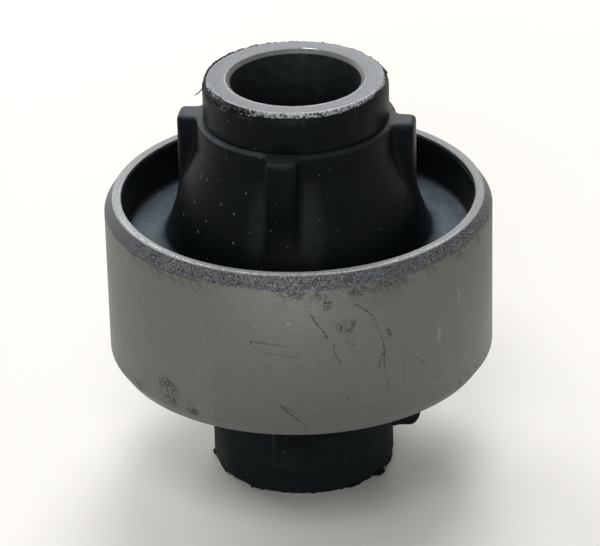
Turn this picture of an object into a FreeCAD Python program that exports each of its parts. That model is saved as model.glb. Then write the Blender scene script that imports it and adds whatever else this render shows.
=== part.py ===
import FreeCAD, Part
import math
import os

# Rubber metal bush: two steel sleeves, one inside the other, with a rubber body moulded and bonded
# between them. The bolt clamps the inner sleeve end to end, the outer sleeve is pressed into an arm.
# Frame: origin at the centre of the bush, +Z along the bore, one lug on +X. All lengths are in mm.
# The bush is the same at both ends, so the upper end is drawn and mirrored.

# Outer sleeve: a plain tube with a lead-in cone at each end
OUTER_DIAMETER = 60.0
OUTER_WALL = 2.6
OUTER_LENGTH = 27.0
LEAD_IN_RADIAL = 1.25
LEAD_IN_AXIAL = 1.85

# Inner sleeve: a thick tube, chamfered at the bore and at its outer edge
BORE_DIAMETER = 20.0
INNER_WALL = 3.75
INNER_LENGTH = 65.5
BORE_CHAMFER = 0.6
INNER_EDGE_CHAMFER = 0.3

# Rubber body along the inner sleeve: thin skin on the neck, then a ledge and a straight collar
NECK_SKIN = 0.5
BARE_END = 0.5              # steel left bare at each end of the inner sleeve
LEDGE_SETBACK = 6.35        # from the inner sleeve's end face to the ledge and the lug tops
LEDGE_STEP = 1.15           # from the neck skin out to the collar
COLLAR_HEIGHT = 4.2
TOP_EDGE_BREAK = 0.5        # bevelled upper edge of the ledge and of the lugs

# Rubber body between the sleeves: a bell-shaped flare, a flat-bottomed end groove, a lining
LINING = 0.4
LINING_SETBACK = 0.4        # the lining stops this far below the rim
GROOVE_DEPTH = 7.1          # from the outer sleeve's rim to the floor
GROOVE_WIDTH = 4.9          # from the end of the flare's foot to the lining
GROOVE_CORNER = 1.2         # bevelled corner between the floor and the lining
FOOT_HEIGHT = 1.8           # the flare's foot turns out at 45 degrees over this height above the floor
FOOT_RADIUS = 1.8           # the foot sweeps out into the floor

# Stop lugs: upright ribs on the collar, flush with the ledge, that run out in the flare
LUG_COUNT = 4
LUG_WIDTH = 4.7
LUG_STAND_OUT = 2.9         # from the collar to the lug's outer face
LUG_CORNER_RADIUS = 1.0
LUG_ROOT_RADIUS = 0.9

TOUCH = 0.001               # points this close count as touching

# Radii and heights that follow
outer_radius = OUTER_DIAMETER / 2
seat_radius = outer_radius - OUTER_WALL
rim_z = OUTER_LENGTH / 2
bore_radius = BORE_DIAMETER / 2
inner_radius = bore_radius + INNER_WALL
end_z = INNER_LENGTH / 2

neck_radius = inner_radius + NECK_SKIN
neck_end_z = end_z - BARE_END
ledge_z = end_z - LEDGE_SETBACK
collar_radius = neck_radius + LEDGE_STEP
collar_base_z = ledge_z - COLLAR_HEIGHT

lining_radius = seat_radius - LINING
lining_end_z = rim_z - LINING_SETBACK
floor_z = rim_z - GROOVE_DEPTH
foot_z = floor_z + FOOT_HEIGHT
foot_end_radius = lining_radius - GROOVE_WIDTH
flare_radius = foot_end_radius - FOOT_HEIGHT
foot_radius = min(FOOT_RADIUS, GROOVE_WIDTH)
groove_corner = min(GROOVE_CORNER, 0.4 * GROOVE_WIDTH)

lug_radius = collar_radius + LUG_STAND_OUT
lug_corner_radius = min(LUG_CORNER_RADIUS, 0.45 * LUG_WIDTH)
top_edge_break = min(TOP_EDGE_BREAK, 0.9 * LEDGE_STEP, 0.9 * lug_corner_radius)

CENTRE = FreeCAD.Vector(0, 0, 0)
BORE_AXIS = FreeCAD.Vector(0, 0, 1)


def at(radius, z):
    """A point of a section, which lies in the plane of the bore's axis and +X."""
    return FreeCAD.Vector(radius, 0, z)


def straight_edges(points):
    """Edges from each point to the next."""
    return [Part.makeLine(a, b) for a, b in zip(points, points[1:])]


def ring(edges):
    """The ring that a closed section sweeps about the bore's axis, its seam midway between lugs."""
    section = Part.Face(Part.Wire(edges))
    section.rotate(CENTRE, BORE_AXIS, 180.0 / LUG_COUNT)
    return section.revolve(CENTRE, BORE_AXIS, 360)


def tube(upper):
    """A ring whose section is closed by the mirror image of its upper corners."""
    lower = [at(p.x, -p.z) for p in reversed(upper)]
    return ring(straight_edges(upper + lower + upper[:1]))


def make_outer_sleeve():
    return tube([
        at(outer_radius, rim_z - LEAD_IN_AXIAL),
        at(outer_radius - LEAD_IN_RADIAL, rim_z),
        at(seat_radius, rim_z),
    ])


def make_inner_sleeve():
    return tube([
        at(inner_radius, end_z - INNER_EDGE_CHAMFER),
        at(inner_radius - INNER_EDGE_CHAMFER, end_z),
        at(bore_radius + BORE_CHAMFER, end_z),
        at(bore_radius, end_z - BORE_CHAMFER),
    ])


def circles(shape, radius, z):
    """The edges of a shape that lie on the circle of that radius about the bore's axis."""
    return [e for e in shape.Edges
            if abs(middle(e).z - z) < TOUCH and abs(reach(middle(e)) - radius) < TOUCH]


def make_bell():
    """The turned form of the upper half: neck, flare, groove and lining, solid to the axis."""
    bell = ring(straight_edges([
        at(0, 0),
        at(0, neck_end_z),
        at(neck_radius, neck_end_z),
        at(neck_radius, collar_base_z),
        at(collar_radius, collar_base_z),
        at(flare_radius, foot_z),
        at(foot_end_radius, floor_z),
        at(lining_radius, floor_z),
        at(lining_radius, lining_end_z),
        at(seat_radius, lining_end_z),
        at(seat_radius, 0),
        at(0, 0),
    ]))
    bell = bell.makeFillet(foot_radius, circles(bell, foot_end_radius, floor_z))
    return bell.makeChamfer(groove_corner, circles(bell, lining_radius, floor_z))


def make_lugged_collar():
    """The collar with its upright lugs, which runs down inside the flare as far as the floor."""
    height = ledge_z - floor_z
    collar = Part.makeCylinder(collar_radius, height, at(0, floor_z))
    root = FreeCAD.Vector(0, -LUG_WIDTH / 2, floor_z)
    lug = Part.makeBox(lug_radius, LUG_WIDTH, height, root)
    lugs = [lug.rotated(CENTRE, BORE_AXIS, 360.0 * i / LUG_COUNT) for i in range(LUG_COUNT)]
    collar = collar.fuse(lugs).removeSplitter()
    upright = [e for e in collar.Edges if is_upright(e)]
    collar = collar.makeFillet(LUG_ROOT_RADIUS, [e for e in upright if on_collar(e)])
    upright = [e for e in collar.Edges if is_upright(e)]
    collar = collar.makeFillet(lug_corner_radius, [e for e in upright if reach(middle(e)) > lug_radius])
    return collar.makeChamfer(top_edge_break, [e for e in collar.Edges if middle(e).z > ledge_z - TOUCH])


def reach(point):
    """Distance of a point from the bore's axis."""
    return math.hypot(point.x, point.y)


def middle(edge):
    return edge.valueAt((edge.FirstParameter + edge.LastParameter) / 2)


def is_upright(edge):
    low, high = edge.Vertexes[0], edge.Vertexes[-1]
    return math.hypot(high.X - low.X, high.Y - low.Y) < TOUCH


def on_collar(edge):
    return abs(reach(middle(edge)) - collar_radius) < TOUCH


def make_rubber_body():
    """One moulding: the bell, the lugged collar and their mirror image, round the inner sleeve."""
    half = make_bell().fuse(make_lugged_collar())
    whole = half.fuse(half.mirror(CENTRE, BORE_AXIS))
    core = Part.makeCylinder(inner_radius, 2 * end_z, at(0, -end_z), BORE_AXIS)
    return whole.cut(core).removeSplitter()


def save(node, shape):
    solids = shape.Solids
    shape = solids[0] if len(solids) == 1 else shape
    shape.exportStep("parts/" + node + ".step")
    print(node, "solids", len(solids), "faces", len(shape.Faces), "volume", round(shape.Volume, 1))


os.makedirs("parts", exist_ok=True)
save("outer_sleeve", make_outer_sleeve())
save("inner_sleeve", make_inner_sleeve())
save("rubber_body", make_rubber_body())
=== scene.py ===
import functools
import math

import bmesh
import bpy
from mathutils import Matrix, Vector, noise


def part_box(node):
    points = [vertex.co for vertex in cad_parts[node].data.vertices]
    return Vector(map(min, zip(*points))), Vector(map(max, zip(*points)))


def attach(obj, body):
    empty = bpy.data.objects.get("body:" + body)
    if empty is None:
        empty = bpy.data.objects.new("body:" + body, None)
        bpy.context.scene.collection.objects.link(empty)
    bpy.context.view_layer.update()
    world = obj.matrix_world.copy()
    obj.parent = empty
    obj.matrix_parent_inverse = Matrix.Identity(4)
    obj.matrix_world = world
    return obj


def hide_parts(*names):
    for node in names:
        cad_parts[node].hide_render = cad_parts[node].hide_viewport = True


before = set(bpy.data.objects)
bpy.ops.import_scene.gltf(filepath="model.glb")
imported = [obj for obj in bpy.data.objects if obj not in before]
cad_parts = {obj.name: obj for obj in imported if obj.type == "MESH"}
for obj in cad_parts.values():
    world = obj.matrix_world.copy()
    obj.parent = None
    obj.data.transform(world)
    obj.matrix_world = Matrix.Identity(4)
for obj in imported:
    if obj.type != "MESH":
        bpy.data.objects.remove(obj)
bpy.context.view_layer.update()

MM = 0.001
AXIS = Vector((0, 0, 1))
ORIGIN = Vector((0, 0, 0))
TOUCH = 0.0001              # points this close, in mm, count as touching

# Radii and heights of the bush, in mm, from the frame's nodes
outer_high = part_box("outer_sleeve")[1] / MM
inner_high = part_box("inner_sleeve")[1] / MM
OUTER_RADIUS = round(outer_high.x, 1)
RIM_Z = round(outer_high.z, 2)
INNER_RADIUS = round(inner_high.x, 2)
END_Z = round(inner_high.z, 2)
SEAT_RADIUS = round(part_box("rubber_body")[1].x / MM, 1)

# Sizes of the solids that the frame's boxes don't give, in mm
BORE_RADIUS = 10.0
BORE_CHAMFER = 0.6
INNER_EDGE_CHAMFER = 0.3
LEAD_IN_RADIAL = 1.25
LEAD_IN_AXIAL = 1.85
NECK_SKIN = 0.5
BARE_END = 0.5              # steel left bare at each end of the inner sleeve
LEDGE_SETBACK = 6.35        # from the inner sleeve's end face to the ledge and the lug tops
LEDGE_STEP = 1.15           # from the neck skin out to the collar
COLLAR_HEIGHT = 4.2
LINING = 0.4
LINING_SETBACK = 0.4        # the lining stops this far below the rim
GROOVE_DEPTH = 7.1          # from the outer sleeve's rim to the floor of the end groove
FLARE_WIDTH = 4.9           # from the collar out to the flare's foot
FOOT_HEIGHT = 1.8           # the foot starts this far above the floor
LUG_COUNT = 4
LUG_HALF_WIDTH = 2.35
LUG_STAND_OUT = 2.9         # from the collar to the lug's outer face
LUG_CORNER_RADIUS = 1.0
LUG_ROOT_RADIUS = 0.9

# Rounded and feathered edges, in mm
TOP_EDGE_RADIUS = 0.8
FOOT_RADIUS = 2.6
GROOVE_CORNER_RADIUS = 1.4
LINING_FEATHER = 0.8        # the lining thins over this height
LINING_TIP = 0.1
SHOULDER_ROUND = 0.25
RIM_ROUND = 0.1
INNER_EDGE_ROUND = 0.08

# Radii and heights that follow
LEAD_IN_Z = RIM_Z - LEAD_IN_AXIAL
NECK_RADIUS = INNER_RADIUS + NECK_SKIN
MID_SKIN_RADIUS = INNER_RADIUS + NECK_SKIN / 2
NECK_END_Z = END_Z - BARE_END
LEDGE_Z = END_Z - LEDGE_SETBACK
COLLAR_RADIUS = NECK_RADIUS + LEDGE_STEP
COLLAR_BASE_Z = LEDGE_Z - COLLAR_HEIGHT
LINING_RADIUS = SEAT_RADIUS - LINING
LINING_END_Z = RIM_Z - LINING_SETBACK
FLOOR_Z = RIM_Z - GROOVE_DEPTH
FLARE_ANGLE = math.atan(FLARE_WIDTH / (COLLAR_BASE_Z - FLOOR_Z - FOOT_HEIGHT))
LUG_REACH = COLLAR_RADIUS + LUG_STAND_OUT
BEYOND_LUGS = LUG_REACH + 2

# Where the lower end departs from the upper one, in mm: its ledge and lugs end sooner, and its lugs
# reach further out and have rounder corners
LOWER_LEDGE_RISE = 1.5
LOWER_LUG_RISE = 0.35
LOWER_LUG_LEAN = 0.5
LOWER_CORNER_WIDTH = 1.5
LOWER_CORNER_RISE = 1.0


# Mesh helpers

SHARP_ANGLE = math.radians(40)


def arc(centre, radius, start, end, steps):
    """Points of a circular arc in a section, angles in degrees from +X towards +Z."""
    turn = [math.radians(start + (end - start) * i / steps) for i in range(steps + 1)]
    return [(centre[0] + radius * math.cos(a), centre[1] + radius * math.sin(a)) for a in turn]


def path(start, *legs):
    """Points along straight legs, each given by its end and its steps, without the last end."""
    points = []
    for end, steps in legs:
        run = (end[0] - start[0], end[1] - start[1])
        points += [(start[0] + run[0] * i / steps, start[1] + run[1] * i / steps) for i in range(steps)]
        start = end
    return points


def mirrored(points):
    """The points of a section mirrored to the lower end, in the order that closes it."""
    return [(r, -z) for r, z in reversed(points)]


def section(bm, points):
    """A closed section in the XZ plane, as a loop of edges."""
    verts = [bm.verts.new((r, 0, z)) for r, z in points]
    edges = [bm.edges.new((a, b)) for a, b in zip(verts, verts[1:] + verts[:1])]
    return verts + edges


def spun(points, steps):
    """A full ring, in mm, swept by a closed section about the bush's axis."""
    bm = bmesh.new()
    bmesh.ops.spin(bm, geom=section(bm, points), cent=ORIGIN, axis=AXIS, angle=math.tau,
                   steps=steps, use_merge=True)
    bmesh.ops.recalc_face_normals(bm, faces=bm.faces)
    return bm


def axis_gap(v):
    """Distance of a vertex from the bush's axis."""
    return math.hypot(v.co.x, v.co.y)


def move_out(v, factor):
    """Multiplies a vertex's distance from the bush's axis."""
    v.co.x *= factor
    v.co.y *= factor


def ring_edges(bm, radius, z):
    """The edges of the circle of that radius at that height, in mm."""
    def on_circle(v):
        return abs(v.co.z - z) < TOUCH and abs(axis_gap(v) - radius) < TOUCH
    return [e for e in bm.edges if all(on_circle(v) for v in e.verts)]


def soften(bm, circles, width):
    """Bevels the sharp circles of a ring, each given as (radius, height)."""
    edges = [e for r, z in circles for e in ring_edges(bm, r, z)]
    bmesh.ops.bevel(bm, geom=edges, offset=width, offset_type="OFFSET", affect="EDGES",
                    segments=3, profile=0.5, material=-1)


def placed(name, data):
    """A new object in the scene, at the origin."""
    obj = bpy.data.objects.new(name, data)
    bpy.context.scene.collection.objects.link(obj)
    return obj


def piece(name, bm, material, replaced=None):
    """Turns a bmesh in mm into a finished piece that rides on the bush."""
    bmesh.ops.scale(bm, vec=(MM, MM, MM), verts=bm.verts)
    mesh = bpy.data.meshes.new(name)
    bm.to_mesh(mesh)
    bm.free()
    mesh.shade_smooth()
    mesh.set_sharp_from_angle(angle=SHARP_ANGLE)
    mesh.materials.append(material)
    obj = placed(name, mesh)
    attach(obj, "root")
    if replaced:
        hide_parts(replaced)


# Shader helpers

class Value:
    """A number in a shader: an operator on it adds the Math node that does the sum."""

    def __init__(self, shader, socket):
        self.shader = shader
        self.socket = socket

    def math(self, operation, *others):
        numbers = dict(enumerate((self,) + others))
        return self.shader.node("ShaderNodeMath", {"operation": operation}, numbers)

    def least(self, other):
        return self.math("MINIMUM", other)

    def most(self, other):
        return self.math("MAXIMUM", other)

    def held(self):
        """The value, held between 0 and 1."""
        return self.most(0.0).least(1.0)

    def __add__(self, other):
        return self.math("ADD", other)

    def __sub__(self, other):
        return self.math("SUBTRACT", other)

    def __rsub__(self, other):
        return self.shader.node("ShaderNodeMath", {"operation": "SUBTRACT"}, {0: other, 1: self})

    def __mul__(self, other):
        return self.math("MULTIPLY", other)

    def __pow__(self, other):
        return self.math("POWER", other)

    def __abs__(self):
        return self.math("ABSOLUTE")

    __radd__ = __add__
    __rmul__ = __mul__


class Shader:
    """A material's node tree, built one call at a time.

    In mm from the middle of the bush: point is the place on the surface and x, y and z its parts,
    reach is the distance from the axis and height the distance from the middle plane. turn is the
    angle about the axis from +X, in radians.
    """

    def __init__(self, name):
        self.material = bpy.data.materials.new(name)
        self.material.use_nodes = True
        self.tree = self.material.node_tree
        self.surface = self.tree.nodes["Principled BSDF"]
        metres = self.node("ShaderNodeTexCoord", {}, {}, "Object")
        self.point = self.vector("SCALE", metres, Scale=1 / MM)
        self.x, self.y, self.z = self.parts(self.point)
        self.reach = (self.x * self.x + self.y * self.y) ** 0.5
        self.height = abs(self.z)
        self.turn = self.node("ShaderNodeMath", {"operation": "ARCTAN2"}, {0: self.y, 1: self.x})

    def feed(self, socket, value):
        """Links a value to a socket, or sets the socket to a constant."""
        if isinstance(value, Value):
            self.tree.links.new(value.socket, socket)
        else:
            socket.default_value = value

    def node(self, kind, settings, inputs, output=0):
        """Adds a node: settings first, then the values or links of its sockets."""
        made = self.tree.nodes.new(kind)
        for key, value in settings.items():
            setattr(made, key, value)
        for key, value in inputs.items():
            self.feed(made.inputs[key], value)
        return Value(self, made.outputs[output])

    def set(self, **inputs):
        """Sets or links the inputs of the surface, named with underscores for spaces."""
        for key, value in inputs.items():
            self.feed(self.surface.inputs[key.replace("_", " ")], value)

    def vector(self, operation, first, second=(0, 0, 0), output=0, **inputs):
        return self.node("ShaderNodeVectorMath", {"operation": operation}, {0: first, 1: second, **inputs},
                         output)

    def parts(self, vector):
        """The three numbers of a vector."""
        first = self.node("ShaderNodeSeparateXYZ", {}, {"Vector": vector})
        return [Value(self, output) for output in first.socket.node.outputs]

    def join(self, x, y, z=0.0):
        return self.node("ShaderNodeCombineXYZ", {}, {0: x, 1: y, 2: z})

    def smooth(self, value, low, high):
        """0 at low, 1 at high and smooth between them, whichever of the two is the larger."""
        if low > high:
            return 1 - self.smooth(value, high, low)
        return self.node("ShaderNodeMapRange", {"interpolation_type": "SMOOTHSTEP"},
                         {0: value, 1: low, 2: high, 3: 0.0, 4: 1.0})

    def noise(self, scale, detail=3.0, roughness=0.5, place=None):
        """Cloudy noise about 0.5, its scale in features per mm."""
        return self.node("ShaderNodeTexNoise", {}, {"Vector": place or self.point, "Scale": scale,
                                                    "Detail": detail, "Roughness": roughness})

    def mix(self, factor, first, second):
        """Mixes two colours."""
        first, second = [c if isinstance(c, Value) else (*c, 1.0) for c in (first, second)]
        return self.node("ShaderNodeMix", {"data_type": "RGBA"}, {0: factor, 6: first, 7: second}, 2)

    def patch(self, place, centre, size):
        """1 in the middle of an oval on a surface, 0 from its edge, size half its width and height."""
        shift = self.vector("SUBTRACT", place, (*centre, 0))
        inside = self.vector("MULTIPLY", shift, (1 / size[0], 1 / size[1], 0))
        return self.smooth(self.vector("LENGTH", inside, output=1), 1.0, 0.3)

    def patches(self, place, ovals):
        """The same for several ovals, each given by its centre and size."""
        return functools.reduce(Value.most, (self.patch(place, *oval) for oval in ovals))

    def stroke_gap(self, place, start, end):
        """Distance on a surface from a straight stroke."""
        run = Vector((end[0] - start[0], end[1] - start[1], 0))
        shift = self.vector("SUBTRACT", place, (*start, 0))
        share = self.vector("DOT_PRODUCT", shift, tuple(run / run.length_squared), output=1).held()
        foot = self.vector("SCALE", tuple(run), Scale=share)
        return self.vector("DISTANCE", shift, foot, output=1)

    def line_gap(self, place, *lines):
        """Distance on a surface from the nearest of the lines, each drawn through its points."""
        strokes = (pair for points in lines for pair in zip(points, points[1:]))
        return functools.reduce(Value.least, (self.stroke_gap(place, *pair) for pair in strokes))

    def dot_gap(self, place, dots):
        """Distance on a surface from the nearest of the dots."""
        gaps = (self.vector("DISTANCE", place, (*dot, 0), output=1) for dot in dots)
        return functools.reduce(Value.least, gaps)

    def bump(self, height, depth):
        """A normal for the surface, from a height of 0 to 1 that stands for a depth in mm."""
        return self.node("ShaderNodeBump", {}, {"Distance": depth * MM, "Height": height})


# Marks on the outer sleeve, in mm round it from +X towards +Y and in mm up from its middle. A scratch
# is a line of points, and a stain, rubbed spot or dull patch is an oval.
DEEP_SCRATCHES = (
    ((-41.6, 8.1), (-40.8, 6.4), (-39.7, 5.0), (-39.0, 3.4)),
    ((-38.1, 2.4), (-37.9, 0.8), (-37.0, -1.0)),
    ((-34.8, 8.7), (-33.9, 8.2), (-31.9, 6.2)),
    ((-30.3, 1.7), (-30.0, -0.1), (-30.1, -2.4)),
    ((-30.0, -0.4), (-30.7, -1.3), (-31.1, -3.0)),
    ((-46.2, -7.8), (-45.3, -8.7), (-43.5, -10.3)),
    ((-50.6, 2.5), (-50.0, 3.0), (-48.6, 2.8)),
)
FINE_SCRATCHES = (
    ((-49.8, 2.7), (-47.5, 2.6), (-45.6, 2.3)),
    ((-50.4, 2.3), (-49.9, 1.6), (-48.3, 1.2), (-46.4, 0.8), (-43.2, 0.4)),
    ((-31.9, 6.2), (-31.1, 4.0), (-30.3, 1.7)),
    ((-30.1, -2.4), (-29.9, -4.2), (-29.5, -6.6)),
    ((-30.0, -0.4), (-29.3, -1.9)),
    ((-43.5, -10.3), (-42.5, -11.1)),
    ((-45.7, -8.1), (-43.7, -9.1)),
    ((-36.5, -7.8), (-35.9, -7.2)),
    ((-40.8, -1.0), (-40.0, -1.1)),
    ((-36.0, 2.5), (-34.8, 1.8)),
    ((-25.0, -2.5), (-22.8, -4.4)),
    ((41.0, 3.0), (43.5, 4.6), (47.0, 5.1)),
    ((62.0, -6.0), (64.5, -3.2), (65.5, 1.5)),
    ((13.0, -4.0), (16.0, -6.5)),
    ((-82.0, 4.0), (-80.0, 1.0), (-79.5, -3.5)),
    ((-26.6, -2.7), (-26.7, -4.6), (-26.8, -6.6)),
    ((-67.5, 11.1), (-64.5, 10.7), (-60.9, 10.4)),
)
STAINS = (
    ((-43.7, 10.9), (2.1, 1.3)), ((-40.1, 10.8), (1.7, 1.4)), ((-38.9, 9.0), (1.3, 1.4)),
    ((-29.2, 10.9), (4.2, 1.6)), ((-34.0, 10.6), (2.4, 1.2)), ((-36.1, 4.9), (1.9, 1.5)),
    ((-29.4, 2.6), (0.9, 0.9)), ((-65.3, -9.0), (2.6, 3.4)), ((-60.6, -11.3), (1.6, 1.2)),
    ((20.0, 10.5), (5.0, 1.6)), ((50.0, -10.4), (5.5, 1.5)), ((76.0, 10.6), (4.0, 1.4)),
)
RUBBED = (((-44.7, 6.1), (0.5, 0.45)), ((-15.0, 3.8), (0.6, 1.7)), ((-19.8, -0.5), (0.5, 2.0)))
DULL_PATCH = ((-30.0, 9.6), (6.5, 3.6))
MARKED_EDGE = ((-73.5, LEAD_IN_Z), (8.5, 2.0))
# radius of the painted highlight ring on the rim's front
RIM_HIGHLIGHT_RADIUS = 28.35


def coated_side(s, place, drift, blotch, grain, grit):
    """Colour of the outer sleeve's grey coat, and how deep it is scratched."""
    side = s.mix(s.smooth(drift, 0.3, 0.7), (0.130, 0.136, 0.125), (0.136, 0.136, 0.126))
    side = s.mix(s.smooth(blotch, 0.45, 0.75) * 0.6, side, (0.134, 0.122, 0.110))
    side = s.mix(s.smooth(blotch, 0.45, 0.25) * 0.5, side, (0.106, 0.122, 0.110))
    side = s.mix(s.smooth(grain, 0.50, 0.72) * 0.4, side, (0.19, 0.188, 0.172))
    side = s.mix(s.smooth(grain, 0.46, 0.26) * 0.5, side, (0.078, 0.082, 0.074))

    # scratches, shaken off their drawn lines and broken up along them
    along = s.turn * OUTER_RADIUS
    shaken = s.join(along + (grit - 0.5) * 0.5, s.z + (grain - 0.5) * 0.7)
    broken = (grain - 0.5) * 0.42 + (grit - 0.5) * 0.2
    worn = s.smooth(grit + (blotch - 0.5) * 0.4, 0.30, 0.48)
    deep = s.smooth(s.line_gap(shaken, *DEEP_SCRATCHES) + broken, 0.16, 0.04) * (0.4 + worn * 0.6)
    fine = s.smooth(s.line_gap(shaken, *FINE_SCRATCHES) + broken, 0.13, 0.03) * worn
    scratched = (deep * 0.85).most(fine * 0.55)

    # stains with ragged edges
    ragged = s.join(along + (blotch - 0.5) * 4.0, s.z + (grain - 0.5) * 3.0)
    speckled = s.smooth(grain + (grit - 0.5) * 0.5 + (blotch - 0.5) * 0.4, 0.58, 0.44)
    stained = s.patches(ragged, STAINS) * speckled * 0.9

    # slanting scuffs towards both ends
    strokes = s.noise(1.0, 3.0, 0.7, s.join(along * 0.9 + s.z * 0.7, s.z * 0.3, s.reach * 0.2))
    near_end = s.smooth(s.height + (blotch - 0.5) * 5.0, 8.2, 11.6)
    scuffed = near_end * s.smooth(s.noise(0.05, 1.0), 0.42, 0.50)
    scuffed = scuffed * s.smooth(strokes + (grit - 0.5) * 0.35, 0.46, 0.62)

    rubbed = s.patches(place, RUBBED) * s.smooth(grit, 0.40, 0.56) * 0.35
    dust = s.smooth(s.noise(2.1, 1.0, 0.5), 0.80, 0.84).most(rubbed)
    side = s.mix(s.patch(place, *DULL_PATCH) * 0.3, side, (0.075, 0.082, 0.062))
    side = s.mix(scuffed * 0.6, side, (0.052, 0.050, 0.038))
    side = s.mix(stained, side, (0.030, 0.032, 0.027))
    side = s.mix(scratched, side, (0.026, 0.027, 0.024))
    side = s.mix(dust * 0.8, side, (0.45, 0.45, 0.42))
    return side, scratched


def pitted_cone(s, blotch, grit):
    """Colour of the outer sleeve's lead-in cones, and how deep they are pitted."""
    across = s.x + s.y * 0.3
    rough = 0.5 + s.smooth(s.noise(0.16, 2.0), 0.34, 0.52) * 0.5
    rough = 0.1 + rough * s.smooth(across + blotch * 4.0, -27.5, -25.0) * 0.9
    pits = s.smooth(grit + (blotch - 0.5) * 0.12, 0.49, 0.41) * rough
    glints = s.smooth(grit, 0.59, 0.67) * rough
    cone = s.mix(s.smooth(blotch, 0.3, 0.7), (0.060, 0.066, 0.074), (0.090, 0.096, 0.105))
    cone = s.mix(s.smooth(across, -24.0, -28.0) * 0.3, cone, (0.030, 0.033, 0.036))
    cone = s.mix(pits * 0.95, cone, (0.006, 0.008, 0.010))
    return s.mix(glints * 0.75, cone, (0.29, 0.31, 0.33)), pits


def turned_rim(s, rings, drift, blotch, grain, grit):
    """Colour of the outer sleeve's turned end faces, painted brighter towards the front as painted light,
    with a painted highlight ring.
    """
    # painted light: the face and its turning rings are painted brighter towards the front
    painted_front_light = s.smooth(s.y + s.x * 0.4, 16.0, -20.0)
    face = s.mix(painted_front_light, (0.145, 0.153, 0.158), (0.235, 0.252, 0.262))
    face = s.mix(s.smooth(rings, 0.40, 0.68) * (0.25 + painted_front_light * 0.3), face, (0.40, 0.41, 0.42))
    face = s.mix(s.smooth(grit, 0.48, 0.40) * 0.55, face, (0.055, 0.063, 0.070))
    # painted highlight: a broken near-white ring on the rim, at the front only
    bright = s.smooth(abs(s.reach - RIM_HIGHLIGHT_RADIUS + (drift - 0.5)), 0.11, 0.04)
    bright = bright * s.smooth(s.y, -6.0, -22.0) * s.smooth(grain + (blotch - 0.5) * 0.4, 0.44, 0.54)
    return s.mix(bright, face, (0.95, 0.96, 0.97))


def phosphated_steel():
    """Grey coat with handling scratches, pitted lead-in cones and a turned rim painted brighter at the
    front, with a painted highlight ring.
    """
    s = Shader("phosphated_steel")
    drift = s.noise(0.09, 2.0)
    blotch = s.noise(0.4, 3.0, 0.6)
    grain = s.noise(2.6, 3.0, 0.65)
    grit = s.noise(3.4, 2.0, 0.7)
    rings = s.noise(1.0, 2.0, 0.7, s.join(s.reach * 7.0, s.turn * 1.4))
    place = s.join(s.turn * OUTER_RADIUS, s.z)
    side, scratched = coated_side(s, place, drift, blotch, grain, grit)
    cone, pits = pitted_cone(s, blotch, grit)
    face = turned_rim(s, rings, drift, blotch, grain, grit)

    upper = s.smooth(s.z, -1.0, 1.0)
    on_cone = s.smooth(s.height + (blotch - 0.5) * 0.9 + (grit - 0.5) * 0.9,
                       LEAD_IN_Z - 0.20, LEAD_IN_Z + 0.14)
    on_edge = s.smooth(abs(s.height + (blotch - 0.5) * 0.5 - (LEAD_IN_Z - 0.05)), 0.14, 0.04)
    on_edge = on_edge * s.smooth(s.noise(0.2, 2.0) + s.patch(place, *MARKED_EDGE) * 0.3, 0.46, 0.54)
    on_edge = on_edge * s.smooth(grain, 0.35, 0.5) * upper
    on_face = s.smooth(s.height, RIM_Z - 0.10, RIM_Z - 0.03)
    colour = s.mix(on_cone * (0.1 + upper * 0.9), side, cone)
    colour = s.mix(on_edge * 0.75, colour, (0.025, 0.026, 0.024))
    colour = s.mix(on_face, colour, face)

    relief = rings * on_face * 0.4 - scratched - pits * on_cone * 0.9 + grain * 0.25
    s.set(Base_Color=colour, Metallic=0.5 - on_cone * 0.22 - on_face * 0.18,
          Roughness=0.52 + (blotch - 0.5) * 0.16, Normal=s.bump(relief, 0.02), Specular_IOR_Level=0.4)
    return s.material


# Marks on the inner sleeve's end faces, in mm: the radius of each ring, the first two painted highlights,
# a painted highlight line on the bore's far edge, and a torn stretch of the outer edge, in mm round it and
# up
BORE_HIGHLIGHT_RADIUS = 10.82
EDGE_HIGHLIGHT_RADIUS = 13.12
CRUSHED_FROM = 13.33
CRUSHED_TO = 13.44
BORE_GLINT_LINE = ((-0.2, 10.75), (1.0, 10.72), (2.0, 10.5))
TORN_EDGE = ((-31.5, END_Z), (8.0, 3.0))


def turned_end(s, rings, blotch, grain, grit):
    """Colour of the inner sleeve's satin end faces, with painted highlights by the bore and near the outer
    edge.
    """
    face = s.mix(s.smooth(blotch, 0.3, 0.7), (0.088, 0.097, 0.108), (0.124, 0.134, 0.146))
    face = s.mix(s.smooth(rings, 0.35, 0.7) * 0.35, face, (0.20, 0.21, 0.225))
    face = s.mix(s.smooth(grain, 0.46, 0.32) * 0.6, face, (0.048, 0.055, 0.063))
    face = s.mix(s.smooth(grit, 0.58, 0.68) * 0.5, face, (0.34, 0.35, 0.37))
    # painted highlight: a bright line round the bore, at the front only
    bore_highlight = s.smooth(abs(s.reach - BORE_HIGHLIGHT_RADIUS), 0.10, 0.03) * s.smooth(grain, 0.35, 0.55)
    face = s.mix(bore_highlight * s.smooth(s.y, 4.0, -4.0) * 0.6, face, (0.55, 0.57, 0.62))
    # painted highlight: a near-white line on the bore's far edge
    glint_gap = s.line_gap(s.join(s.x, s.y), BORE_GLINT_LINE)
    face = s.mix(s.smooth(glint_gap + (grain - 0.5) * 0.4, 0.22, 0.08), face, (0.95, 0.96, 0.97))
    # painted highlight: a bright line near the outer edge, at the front only
    edge_highlight = s.smooth(abs(s.reach - EDGE_HIGHLIGHT_RADIUS + (blotch - 0.5) * 0.3), 0.10, 0.03)
    edge_highlight = edge_highlight * s.smooth(s.y, -2.0, -8.0)
    return s.mix(edge_highlight * s.smooth(grain, 0.42, 0.54) * 0.7, face, (0.60, 0.62, 0.64))


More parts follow.
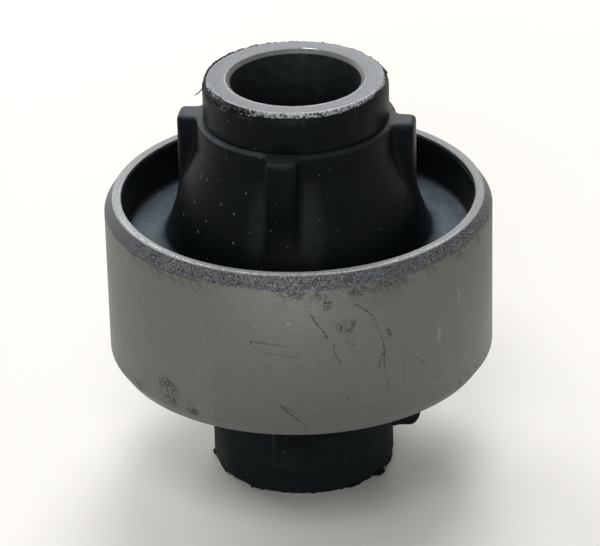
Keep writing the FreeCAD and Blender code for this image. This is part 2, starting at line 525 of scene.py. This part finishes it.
def turned_steel():
    """Satin turned end faces with painted highlights by the bore and the outer edge, a crushed outer edge,
    and a bore painted dark as painted shade, darker deeper in.
    """
    s = Shader("turned_steel")
    blotch = s.noise(0.7, 3.0, 0.6)
    grain = s.noise(2.2, 3.0, 0.65)
    grit = s.noise(4.0, 2.0, 0.7)
    rings = s.noise(1.0, 3.0, 0.7, s.join(s.reach * 8.0, s.turn * 1.2, s.z * 0.2))
    face = turned_end(s, rings, blotch, grain, grit)

    torn = s.patch(s.join(s.turn * INNER_RADIUS, s.z), *TORN_EDGE)
    crushed = s.reach + (grain - 0.5) * 0.9 + (blotch - 0.5) * 0.5 + torn * 0.10
    crushed = s.smooth(crushed, CRUSHED_FROM, CRUSHED_TO)
    chips = s.smooth(grain + (grit - 0.5) * 0.7 - torn * 0.2, 0.42, 0.50)
    edge = s.mix(chips, (0.006, 0.007, 0.008), (0.33, 0.345, 0.36))
    chamfer = s.mix(s.smooth(grain, 0.3, 0.7), (0.10, 0.105, 0.11), (0.15, 0.155, 0.16))
    # painted shade: the bore is painted near black, and darker still deeper in
    deep = s.smooth(s.height, END_Z - 3.0, END_Z - 14.0)
    bore = s.mix(s.smooth(blotch, 0.35, 0.7), (0.018, 0.023, 0.026), (0.030, 0.036, 0.039))
    bore = s.mix(deep, bore, (0.003, 0.005, 0.006))

    chamfer_end = BORE_RADIUS + BORE_CHAMFER
    colour = s.mix(crushed * 0.92, face, edge)
    colour = s.mix(s.smooth(s.reach, chamfer_end + 0.14, chamfer_end + 0.06), colour, chamfer)
    colour = s.mix(s.smooth(s.reach, BORE_RADIUS + 0.10, BORE_RADIUS + 0.03), colour, bore)
    colour = s.mix(s.smooth(s.reach, INNER_RADIUS - 0.28, INNER_RADIUS - 0.2) * 0.9, colour, edge)

    relief = rings * 0.3 + grain * 0.3 + grain * crushed * 2.0
    s.set(Base_Color=colour, Metallic=0.25, Roughness=0.48 + (blotch - 0.5) * 0.2,
          Normal=s.bump(relief, 0.02), Specular_IOR_Level=0.2)
    return s.material


# Marks on the upper flare, in mm round a circle of MARKS_RADIUS from +X and in mm up: specks of
# white dust, strips beside the front lug painted lighter as painted light, and a scrape
MARKS_RADIUS = 16.0
DUST = ((-30.9, 20.1), (-34.9, 17.5), (-32.4, 16.85), (-42.5, 12.95), (-40.6, 15.8), (-37.0, 14.3),
        (-38.0, 12.3), (-31.8, 12.7), (-39.0, 19.9))
LIT_FLARE_STRIPS = (((-28.7, 16.3), (2.0, 7.5)), ((-20.8, 15.0), (2.3, 9.0)))
SCRAPE = ((-40.8, 19.8), (0.22, 1.0))


def add_painted_light(s, colour, level, blotch, grain):
    """Adds a painted reflection on the level faces and painted light on the foot; also says what lies
    above the foot.
    """
    # painted reflection: a pale bluish-grey on the level faces, paler low in the groove than on the lug
    # tops, left off by the lining wall and the end of the neck
    clear_of_wall = s.smooth(s.reach, LINING_RADIUS, LINING_RADIUS - 1.3)
    clear_of_end = s.smooth(s.height, NECK_END_Z - 0.4, NECK_END_Z - 1.2)
    cloudy = 0.66 + s.smooth(blotch + (grain - 0.5) * 0.4, 0.3, 0.7) * 0.34
    painted_reflection = s.mix(s.smooth(s.height, 14.0, 24.0), (0.118, 0.148, 0.172), (0.058, 0.070, 0.078))
    # painted shade: the painted reflection is dimmer on the right lug's top
    right_lug = s.smooth(s.height, 20.0, 24.0) * s.smooth(s.x, 8.0, 16.0)
    painted_reflection = s.mix(right_lug * 0.5, painted_reflection, (0.020, 0.028, 0.028))

    # painted shade: the painted reflection is taken off the front lug's top and the ledge to its right
    reflection_shaded = s.smooth(s.z, LEDGE_Z - 1.8, LEDGE_Z - 1.0)
    reflection_shaded = reflection_shaded * s.smooth(s.x, -3.4, -2.2) * s.smooth(s.x, 16.0, 14.5)
    painted_reflection = s.mix(reflection_shaded * s.smooth(s.y, 6.0, -4.0) * 0.8, painted_reflection, (0.010, 0.014, 0.016))

    above_foot = s.smooth(s.z, -24.0, -21.0)
    # painted light: the rubber low on the foot is painted lighter
    colour = s.mix((1 - above_foot) * 0.7, colour, (0.010, 0.014, 0.016))
    # the foot is lighter towards its left, in patches
    lighter_left_foot = s.smooth(s.x + (blotch - 0.5) * 6.0, -8.5, -13.5) * (1 - above_foot)
    colour = s.mix(lighter_left_foot * s.smooth(grain, 0.25, 0.6), colour, (0.026, 0.031, 0.026))
    colour = s.mix(level * clear_of_wall * clear_of_end * cloudy * above_foot, colour, painted_reflection)
    return colour, above_foot


def moulded_rubber():
    """Black moulded rubber with a painted reflection on its level faces, painted light on the flare and
    the foot, mould marks and white dust specks.
    """
    s = Shader("moulded_rubber")
    facing = s.parts(s.node("ShaderNodeNewGeometry", {}, {}, "Normal"))[2]
    blotch = s.noise(0.25, 3.0, 0.6)
    grain = s.noise(1.1, 3.0, 0.6)
    grit = s.noise(4.5, 2.0, 0.6)
    level = s.smooth(abs(facing), 0.42, 0.97)
    colour = s.mix(s.smooth(blotch, 0.3, 0.7), (0.0013, 0.0028, 0.0038), (0.0023, 0.0042, 0.0050))
    colour, above_foot = add_painted_light(s, colour, level, blotch, grain)

    # upright mould streaks on the neck; painted light: lighter strips on the flare beside the front lug
    streaks = s.noise(1.0, 2.0, 0.6, s.join(s.turn * 22.0, s.z * 0.10))
    on_neck = s.smooth(s.height, LEDGE_Z - 0.5, LEDGE_Z + 0.5) * s.smooth(facing, 0.6, 0.3)
    colour = s.mix(on_neck * s.smooth(streaks, 0.56, 0.74) * 0.5, colour, (0.018, 0.021, 0.019))
    place = s.join(s.turn * MARKS_RADIUS, s.z)
    lit_strips = s.patches(place, LIT_FLARE_STRIPS) * s.smooth(grain + blotch, 0.6, 1.1)
    colour = s.mix(lit_strips * 0.45, colour, (0.022, 0.027, 0.030))

    # specks of dust: fine ones scattered all over, and the larger ones in their places
    cell = {"Vector": s.point, "Scale": 0.7, "Randomness": 1.0}
    gap = s.node("ShaderNodeTexVoronoi", {}, cell, "Distance")
    kept = s.parts(s.node("ShaderNodeTexVoronoi", {}, cell, "Color"))[0]
    specks = s.smooth(gap + (grit - 0.5) * 0.06, 0.085, 0.045) * s.smooth(kept, 0.45, 0.55)
    lint = s.smooth(s.dot_gap(place, DUST) + (grit - 0.5) * 0.5 + (blotch - 0.5) * 0.2, 0.20, 0.06)
    dusty = (specks * (0.35 + kept * 0.4)).most(lint * 0.7).most(s.patch(place, *SCRAPE) * 0.25)
    colour = s.mix(dusty, colour, (0.20, 0.22, 0.23))

    relief = grain * 0.6 + grit * 0.15 + streaks * on_neck * 1.2
    s.set(Base_Color=colour, Roughness=0.74 + (blotch - 0.5) * 0.14 + level * 0.06 - above_foot * 0.32,
          Normal=s.bump(relief, 0.05), Specular_IOR_Level=0.07)
    return s.material


def torn_rubber():
    """Dull black of torn rubber."""
    s = Shader("torn_rubber")
    grain = s.noise(3.0, 3.0, 0.6)
    s.set(Base_Color=s.mix(s.smooth(grain, 0.4, 0.7), (0.0015, 0.0018, 0.002), (0.007, 0.008, 0.008)),
          Roughness=0.7 + (grain - 0.5) * 0.3, Normal=s.bump(grain, 0.06), Specular_IOR_Level=0.07)
    return s.material


def white_paper():
    """Matt paper for the floor."""
    s = Shader("white_paper")
    s.set(Base_Color=(0.95, 0.925, 0.88, 1.0), Roughness=0.9)
    return s.material


# Steel sleeves

OUTER_STEPS = 384
INNER_STEPS = 256


def make_outer_sleeve(material):
    upper = [(OUTER_RADIUS, LEAD_IN_Z), (OUTER_RADIUS - LEAD_IN_RADIAL, RIM_Z), (SEAT_RADIUS, RIM_Z)]
    lower = mirrored(upper)
    bm = spun(upper + lower, OUTER_STEPS)
    soften(bm, [upper[0], lower[-1]], SHOULDER_ROUND)
    soften(bm, [upper[1], upper[2], lower[0], lower[1]], RIM_ROUND)
    piece("pressed_outer_sleeve", bm, material, "outer_sleeve")


def make_inner_sleeve(material):
    upper = [(INNER_RADIUS, END_Z - INNER_EDGE_CHAMFER), (INNER_RADIUS - INNER_EDGE_CHAMFER, END_Z),
             (BORE_RADIUS + BORE_CHAMFER, END_Z), (BORE_RADIUS, END_Z - BORE_CHAMFER)]
    corners = upper + mirrored(upper)
    bm = spun(corners, INNER_STEPS)
    soften(bm, corners, INNER_EDGE_ROUND)
    piece("turned_inner_sleeve", bm, material, "inner_sleeve")


# Rubber body

# The sectors of each lug's share of a turn, as an angle in degrees and its steps: those on both sides
# of the lug's middle are the finest
CENTRE_HALF_ANGLE = 5.5
LUG_HALF_ANGLE = 13.5
SECTORS = ((2 * CENTRE_HALF_ANGLE, 6), (LUG_HALF_ANGLE - CENTRE_HALF_ANGLE, 24),
           (360 / LUG_COUNT - 2 * LUG_HALF_ANGLE, 42), (LUG_HALF_ANGLE - CENTRE_HALF_ANGLE, 24))

# At the lower end a lug's height runs into the ledge's over BLEND_ANGLE degrees, up to BLEND_END from
# the lug's middle
BLEND_END = LUG_HALF_ANGLE - 1
BLEND_ANGLE = 3.5


def rubber_section():
    """Half of the rubber's closed section, from the middle of its bore round to the middle of its seat."""
    edge_centre = (COLLAR_RADIUS - TOP_EDGE_RADIUS, LEDGE_Z - TOP_EDGE_RADIUS)
    edge = arc(edge_centre, TOP_EDGE_RADIUS, 90, 0, 6)
    flare_end = COLLAR_RADIUS + math.tan(FLARE_ANGLE) * (COLLAR_BASE_Z - FLOOR_Z)
    foot_tangent = FOOT_RADIUS * math.tan((math.pi / 2 - FLARE_ANGLE) / 2)
    foot_centre = (flare_end + foot_tangent, FLOOR_Z + FOOT_RADIUS)
    foot = arc(foot_centre, FOOT_RADIUS, 180 + math.degrees(FLARE_ANGLE), 270, 14)
    corner_centre = (LINING_RADIUS - GROOVE_CORNER_RADIUS, FLOOR_Z + GROOVE_CORNER_RADIUS)
    corner = arc(corner_centre, GROOVE_CORNER_RADIUS, 270, 360, 8)
    return (
        path((INNER_RADIUS, 0), ((INNER_RADIUS, NECK_END_Z), 1), ((NECK_RADIUS, NECK_END_Z), 1),
             ((NECK_RADIUS, LEDGE_Z), 8), (edge[0], 2))
        + edge[:-1]
        + path(edge[-1], ((COLLAR_RADIUS, COLLAR_BASE_Z), 6), (foot[0], 22))
        + foot
        + corner[:-1]
        + path(corner[-1], ((LINING_RADIUS, LINING_END_Z - LINING_FEATHER), 4),
               ((SEAT_RADIUS - LINING_TIP, LINING_END_Z), 1), ((SEAT_RADIUS, LINING_END_Z), 1),
               ((SEAT_RADIUS, 0), 1))
    )


def plan_gap(reach, angle, radius):
    """Distance, in plan, of a point from the outline of the body with one lug on +X, negative inside."""
    from_body = reach - radius
    x, y = reach * math.cos(angle), abs(reach * math.sin(angle))
    dx = x - (LUG_REACH - LUG_CORNER_RADIUS)
    dy = y - (LUG_HALF_WIDTH - LUG_CORNER_RADIUS)
    from_lug = math.hypot(max(dx, 0), max(dy, 0)) + min(max(dx, dy), 0) - LUG_CORNER_RADIUS
    near_body = max(LUG_ROOT_RADIUS - from_body, 0)
    near_lug = max(LUG_ROOT_RADIUS - from_lug, 0)
    return max(LUG_ROOT_RADIUS, min(from_body, from_lug)) - math.hypot(near_body, near_lug)


@functools.lru_cache(maxsize=None)
def outline_reach(angle, radius, inset):
    """How far the outline, drawn in by inset, lies from the axis in that direction."""
    halvings = 24
    low, high = radius - inset, BEYOND_LUGS
    for _ in range(halvings):
        middle = (low + high) / 2
        if plan_gap(middle, angle, radius) + inset < 0:
            low = middle
        else:
            high = middle
    return low


def pushed_out(radius, z, angle):
    """The radius of a point of the plain ring once the lugs are pushed out of it."""
    flat_end = COLLAR_RADIUS - TOP_EDGE_RADIUS
    if z > LEDGE_Z - TOUCH:
        share = (radius - NECK_RADIUS) / (flat_end - NECK_RADIUS)
        return NECK_RADIUS + share * (outline_reach(angle, COLLAR_RADIUS, TOP_EDGE_RADIUS) - NECK_RADIUS)
    if z > LEDGE_Z - TOP_EDGE_RADIUS:
        return outline_reach(angle, COLLAR_RADIUS, COLLAR_RADIUS - radius)
    return outline_reach(angle, radius, 0)


def lug_angle(v):
    """Angle of a vertex about the axis from the middle of the nearest lug, in radians."""
    pitch = math.tau / LUG_COUNT
    angle = math.atan2(v.co.y, v.co.x)
    return abs(angle - pitch * round(angle / pitch))


def push_out_lugs(bm):
    """Moves the collar and the flare out into the lugs, at both ends."""
    for v in bm.verts:
        radius, height, angle = axis_gap(v), abs(v.co.z), lug_angle(v)
        on_collar = FLOOR_Z < height < LEDGE_Z + TOUCH and NECK_RADIUS + TOUCH < radius < BEYOND_LUGS
        if on_collar and angle < math.radians(LUG_HALF_ANGLE):
            move_out(v, pushed_out(round(radius, 5), height, round(angle, 6)) / radius)


def draw_up_lower_end(bm):
    """Ends the lower ledge and lugs sooner than the upper ones and rounds those lugs' outer corners."""
    straight_end = LEDGE_Z - TOP_EDGE_RADIUS
    for v in bm.verts:
        radius, height = axis_gap(v), -v.co.z
        if not COLLAR_BASE_Z < height < LEDGE_Z + TOUCH or radius < MID_SKIN_RADIUS:
            continue
        on_lug = max(0, min((BLEND_END - math.degrees(lug_angle(v))) / BLEND_ANGLE, 1))
        on_lug = on_lug * on_lug * (3 - 2 * on_lug)
        corner = max(radius - (LUG_REACH - LOWER_CORNER_WIDTH), 0) / LOWER_CORNER_WIDTH
        lug_rise = LOWER_LUG_RISE + LOWER_CORNER_RISE * corner ** 2
        rise = LOWER_LEDGE_RISE + (lug_rise - LOWER_LEDGE_RISE) * on_lug
        lean = LOWER_LUG_LEAN * max(radius - COLLAR_RADIUS, 0) / (LUG_REACH - COLLAR_RADIUS)
        share = min((height - COLLAR_BASE_Z) / (straight_end - COLLAR_BASE_Z), 1)
        v.co.z += rise * share
        move_out(v, 1 + lean * on_lug * share / radius)


# The skin's torn end: angle round the neck in degrees, height above or below the moulded end in mm
TORN_END = ((0, 0.05), (8, 0.15), (16, 0.42), (26, 0.10), (60, 0.22), (90, 0.28), (120, 0.35), (145, 0.44),
            (190, 0.44), (198, 0.25), (210, -0.2), (222, -0.75), (232, -0.3), (241, -0.6), (254, -0.15),
            (275, -0.12), (300, -0.2), (320, -0.05), (333, 0.25), (345, 0.4), (353, 0.1), (360, 0.05))
TORN_TURN = 130             # the lower end is torn the same way, this many degrees round
TORN_ROUGHNESS = 0.22
TORN_LIMIT = 0.46
FEATHER_EDGE = 0.2          # thickness of the torn edge


def torn_rise(degrees):
    """How far the torn end stands above the moulded one at that angle round the neck."""
    (a, low), (b, high) = next(pair for pair in zip(TORN_END, TORN_END[1:]) if degrees <= pair[1][0])
    return low + (high - low) * (degrees - a) / (b - a)


def tear_neck_ends(bm):
    """Makes the thin skin end in a torn feather edge on the inner sleeve, each end on its own."""
    for v in bm.verts:
        radius = axis_gap(v)
        if abs(v.co.z) < NECK_END_Z - TOUCH:
            continue
        degrees = math.degrees(math.atan2(v.co.y, v.co.x)) % 360
        degrees = degrees if v.co.z > 0 else (degrees + TORN_TURN) % 360
        rough = noise.noise(Vector((v.co.x * 2.2, v.co.y * 2.2, v.co.z)))
        rise = min(torn_rise(degrees) + TORN_ROUGHNESS * rough, TORN_LIMIT)
        if radius > MID_SKIN_RADIUS:
            wavy = 0.1 * noise.noise(Vector((v.co.x * 1.3, v.co.y * 1.3, 9)))
            move_out(v, (INNER_RADIUS + FEATHER_EDGE + wavy) / radius)
        v.co.z = math.copysign(NECK_END_Z + rise, v.co.z)


def make_rubber_body(material):
    half = rubber_section()
    bm = bmesh.new()
    geom = section(bm, half + [(SEAT_RADIUS, 0)] + mirrored(half[1:]))
    start = Matrix.Rotation(math.radians(-CENTRE_HALF_ANGLE), 3, "Z")
    bmesh.ops.rotate(bm, cent=ORIGIN, matrix=start, verts=bm.verts)
    for angle, steps in SECTORS * LUG_COUNT:
        geom = bmesh.ops.spin(bm, geom=geom, cent=ORIGIN, axis=AXIS, angle=math.radians(angle),
                              steps=steps, use_merge=False)["geom_last"]
    bmesh.ops.remove_doubles(bm, verts=bm.verts, dist=TOUCH)
    push_out_lugs(bm)
    draw_up_lower_end(bm)
    tear_neck_ends(bm)
    bmesh.ops.recalc_face_normals(bm, faces=bm.faces)
    piece("moulded_rubber_body", bm, material, "rubber_body")


# Flash: shreds and slivers that the mould and the press leave on the rubber

FIBRE_TAPER = 0.75

# a loose hair at the neck's left edge, its points in mm
HAIR = ((-13.76, -2.9, 32.3), (-13.85, -3.1, 31.7), (-14.34, -3.45, 31.15), (-14.78, -3.66, 30.88),
        (-15.1, -3.76, 30.74))
HAIR_RADIUS = 0.1

# each strand's points, by angle round the bush in degrees, radius and height in mm, and its radius
STRANDS = (
    # the lump that the hair hangs from
    (((189, 13.7, 32.3), (191, 13.9, 32.2), (193.5, 13.95, 31.95), (195, 13.8, 31.6)), 0.42),
    # shreds over the outer edge of the end face, front left
    (((214, 13.45, 32.72), (217, 13.3, 32.74), (221, 13.25, 32.72), (225, 13.4, 32.66),
      (229, 13.65, 32.6)), 0.16),
    (((229, 13.6, 32.62), (232, 13.5, 32.70), (236, 13.6, 32.66), (240, 13.8, 32.45)), 0.15),
    (((233, 13.9, 32.4), (236, 13.95, 32.0), (238, 14.1, 31.6)), 0.17),
    (((240, 13.9, 32.45), (243, 13.85, 32.2), (246, 14.05, 31.7)), 0.14),
    (((205, 13.75, 32.6), (208, 13.7, 32.68), (212, 13.7, 32.62)), 0.12),
    # crumbs on the far edge and at the right
    (((142, 13.8, 32.6), (145, 13.85, 32.72), (148, 13.85, 32.6)), 0.16),
    (((122, 13.85, 32.62), (123.6, 13.95, 32.72), (126, 13.9, 32.6)), 0.14),
    (((10, 13.85, 32.5), (13, 13.95, 32.66), (17, 13.95, 32.55)), 0.2),
    (((336, 13.8, 32.55), (341, 13.75, 32.66), (346, 13.8, 32.6), (350, 13.85, 32.45)), 0.16),
    # slivers along the inside of the outer sleeve's rim
    (((32, 27.1, 12.9), (27, 27.0, 13.1), (22, 26.95, 13.2), (17, 27.05, 13.25), (13, 27.25, 13.1)), 0.16),
    (((245.8, 27.2, 13.2), (246.8, 27.1, 13.46), (247.6, 26.9, 13.44)), 0.1),
    (((279.8, 27.2, 13.2), (280.5, 27.1, 13.42), (281.4, 26.95, 13.44)), 0.09),
    # slivers at the foot
    (((240.5, 13.9, -32.3), (242.3, 14.15, -32.45), (244, 13.9, -32.35)), 0.24),
    (((328, 13.9, -32.2), (331.5, 14.45, -32.2), (336, 14.5, -32.2), (339.5, 13.9, -32.2)), 0.55),
    (((338, 13.8, -32.2), (343, 14.05, -32.25), (350, 14.1, -32.2), (357, 14.05, -32.1),
      (364, 13.85, -31.8)), 0.34),
    (((303, 13.9, -32.35), (309, 14.05, -32.45), (315, 14.1, -32.4), (322, 13.9, -32.3)), 0.25),
    (((186, 13.9, -32.0), (189, 14.4, -32.1), (192, 14.3, -32.15), (196, 13.9, -32.3)), 0.22),
)


def at(angle, radius, z):
    """A point in mm from its angle round the bush in degrees, its radius and its height."""
    turn = math.radians(angle)
    return (radius * math.cos(turn), radius * math.sin(turn), z)


def fibre(bm, points, radius):
    """A thin strand through the points, in mm, that tapers to both ends, pressed flat by the end faces."""
    points = [Vector(p) for p in points]
    last = len(points) - 1
    loops = []
    for i, point in enumerate(points):
        along = (points[min(i + 1, last)] - points[max(i - 1, 0)]).normalized()
        share = abs(2 * i / last - 1)
        matrix = Matrix.Translation(point) @ along.to_track_quat("Z", "Y").to_matrix().to_4x4()
        made = bmesh.ops.create_circle(bm, cap_ends=i in (0, last), segments=6,
                                       radius=radius * (1 - FIBRE_TAPER * share ** 2), matrix=matrix)
        ends = set(made["verts"])
        loops.append([e for v in ends for e in v.link_edges if set(e.verts) <= ends])
    for first, second in zip(loops, loops[1:]):
        bmesh.ops.bridge_loops(bm, edges=list(set(first + second)))
    for v in bm.verts:
        v.co.z = max(-END_Z, min(v.co.z, END_Z))


def make_moulding_flash(material):
    bm = bmesh.new()
    fibre(bm, HAIR, HAIR_RADIUS)
    for places, radius in STRANDS:
        fibre(bm, [at(*place) for place in places], radius)
    bmesh.ops.recalc_face_normals(bm, faces=bm.faces)
    piece("moulding_flash", bm, material)


# Floor, light and camera: lengths in metres, angles in degrees, power in watts

TABLE_Z = -END_Z * MM
TABLE_HALF_SIZE = 3.0

AMBIENT = 0.04
WORLD_COLOUR = (1.0, 0.98, 0.94, 1)

LAMP_DISTANCE = 1.6
LAMP_SIZE = 0.8
LAMPS = (
    ("front_low_lamp", 0, 12, 5.2),
    ("front_lamp", 0, 30, 2.2),
    ("front_high_lamp", 0, 60, 6.0),
    ("back_low_lamp", 180, 30, 8.4),
    ("back_high_lamp", 180, 60, 9.4),
    ("back_left_lamp", 225, 30, 9.2),
    ("left_lamp", 300, 60, 1.9),
    ("right_lamp", 70, 25, 0.8),
)

CAMERA_AZIMUTH = 8.3
CAMERA_ELEVATION = 27.15
CAMERA_DISTANCE = 0.5993
CAMERA_ROLL = 1.38
CAMERA_LENS = 230.5
AIM = Vector((0, 0, -0.0008))


def make_floor():
    bm = bmesh.new()
    bmesh.ops.create_grid(bm, x_segments=1, y_segments=1, size=TABLE_HALF_SIZE)
    bmesh.ops.translate(bm, vec=(0, 0, TABLE_Z), verts=bm.verts)
    mesh = bpy.data.meshes.new("floor")
    bm.to_mesh(mesh)
    bm.free()
    mesh.materials.append(white_paper())
    floor = placed("floor", mesh)


def make_world():
    """White to the camera and to reflections, dimmer as a light."""
    world = bpy.data.worlds.new("studio")
    bpy.context.scene.world = world
    world.use_nodes = True
    tree = world.node_tree
    rays = tree.nodes.new("ShaderNodeLightPath")
    seen = rays.outputs["Is Camera Ray"]
    for kind in ("Is Glossy Ray", "Is Transmission Ray"):
        either = tree.nodes.new("ShaderNodeMath")
        either.operation = "MAXIMUM"
        tree.links.new(seen, either.inputs[0])
        tree.links.new(rays.outputs[kind], either.inputs[1])
        seen = either.outputs[0]
    strength = tree.nodes.new("ShaderNodeMapRange")
    strength.inputs["To Min"].default_value = AMBIENT
    strength.inputs["To Max"].default_value = 1.0
    tree.links.new(seen, strength.inputs["Value"])
    background = tree.nodes["Background"]
    background.inputs["Color"].default_value = WORLD_COLOUR
    tree.links.new(strength.outputs["Result"], background.inputs["Strength"])


def direction(azimuth, elevation):
    """The way towards a place seen from the bush, azimuth 0 at the front and 90 on the right."""
    a, e = math.radians(azimuth), math.radians(elevation)
    return Vector((math.sin(a) * math.cos(e), -math.cos(a) * math.cos(e), math.sin(e)))


def make_lamp(name, azimuth, elevation, power):
    """A round softbox that faces the bush."""
    data = bpy.data.lights.new(name, "AREA")
    data.shape = "DISK"
    data.size = LAMP_SIZE
    data.energy = power
    lamp = placed(name, data)
    lamp.location = direction(azimuth, elevation) * LAMP_DISTANCE
    lamp.rotation_mode = "QUATERNION"
    lamp.rotation_quaternion = (-lamp.location).to_track_quat("-Z", "Y")


def make_camera():
    data = bpy.data.cameras.new("camera")
    data.lens = CAMERA_LENS
    data.sensor_width = 36
    data.clip_start, data.clip_end = 0.05, 20
    camera = placed("camera", data)
    camera.location = direction(CAMERA_AZIMUTH, CAMERA_ELEVATION) * CAMERA_DISTANCE
    look = (AIM - camera.location).to_track_quat("-Z", "Y").to_matrix()
    roll = Matrix.Rotation(-math.radians(CAMERA_ROLL), 3, "Z")
    camera.rotation_mode = "QUATERNION"
    camera.rotation_quaternion = (look @ roll).to_quaternion()
    bpy.context.scene.camera = camera


make_outer_sleeve(phosphated_steel())
make_inner_sleeve(turned_steel())
make_rubber_body(moulded_rubber())
make_moulding_flash(torn_rubber())
make_floor()
make_world()
for name, azimuth, elevation, power in LAMPS:
    make_lamp(name, azimuth, elevation, power)
make_camera()

bpy.context.scene.view_settings.view_transform = "Standard"
